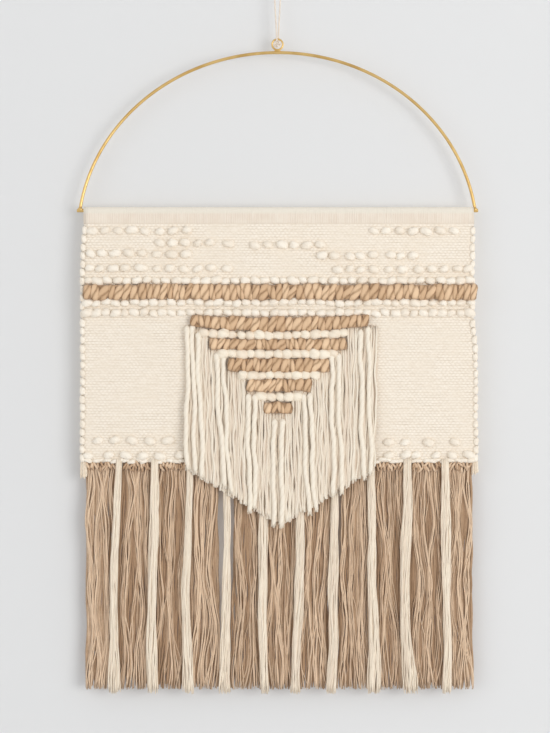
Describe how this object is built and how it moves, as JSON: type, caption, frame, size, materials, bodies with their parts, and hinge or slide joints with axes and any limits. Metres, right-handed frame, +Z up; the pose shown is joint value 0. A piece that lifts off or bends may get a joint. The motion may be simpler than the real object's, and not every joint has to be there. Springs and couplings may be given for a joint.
{
  "type": "woven wall hanging with its wire hanger",
  "caption": "Cream woven hanging with pulled loops, tan roving rows, a pointed cord fringe and a long tasselled fringe, hung from a half-moon wire hanger.",
  "frame": {"origin": "bearing point inside the top of the hanging cord's loop, where a nail goes", "axes": "+Z up; the front faces -Y; +X is to the right as seen from the front"},
  "size_m": [0.513, 0.0224, 0.9041],
  "materials": {
    "brass_wire": "satin",
    "hanging_cord": "matte twisted cord",
    "cream_yarn": "matte woven yarn",
    "tan_yarn": "matte jute-like yarn"
  },
  "bodies": {
    "root": {"hanger_arc": "brass_wire", "hanger_rod": "brass_wire", "hanger_ring": "brass_wire", "hanging_cord": "hanging_cord", "cord_knot": "hanging_cord", "cloth": "cream_yarn", "cream_row_1": "cream_yarn", "cream_row_2": "cream_yarn", "cream_row_3": "cream_yarn", "cream_row_4": "cream_yarn", "point_fringe_left_1": "cream_yarn", "point_fringe_left_2": "cream_yarn", "point_fringe_left_3": "cream_yarn", "point_fringe_left_4": "cream_yarn", "point_fringe_middle": "cream_yarn", "point_fringe_right_4": "cream_yarn", "point_fringe_right_3": "cream_yarn", "point_fringe_right_2": "cream_yarn", "point_fringe_right_1": "cream_yarn", "cream_tassel_01": "cream_yarn", "cream_tassel_02": "cream_yarn", "cream_tassel_03": "cream_yarn", "cream_tassel_04": "cream_yarn", "cream_tassel_05": "cream_yarn", "cream_tassel_06": "cream_yarn", "cream_tassel_07": "cream_yarn", "cream_tassel_08": "cream_yarn", "cream_tassel_09": "cream_yarn", "cream_tassel_10": "cream_yarn", "corner_tuft_left": "cream_yarn", "corner_tuft_right": "cream_yarn", "tan_row_full": "tan_yarn", "tan_row_1": "tan_yarn", "tan_row_2": "tan_yarn", "tan_row_3": "tan_yarn", "tan_row_4": "tan_yarn", "tan_row_5": "tan_yarn", "tan_fringe_01": "tan_yarn", "tan_fringe_02": "tan_yarn", "tan_fringe_03": "tan_yarn", "tan_fringe_04": "tan_yarn", "tan_fringe_05": "tan_yarn", "tan_fringe_06": "tan_yarn", "tan_fringe_07": "tan_yarn", "tan_fringe_08": "tan_yarn", "tan_fringe_09": "tan_yarn", "tan_fringe_10": "tan_yarn", "tan_fringe_11": "tan_yarn"}
  },
  "joints": []
}
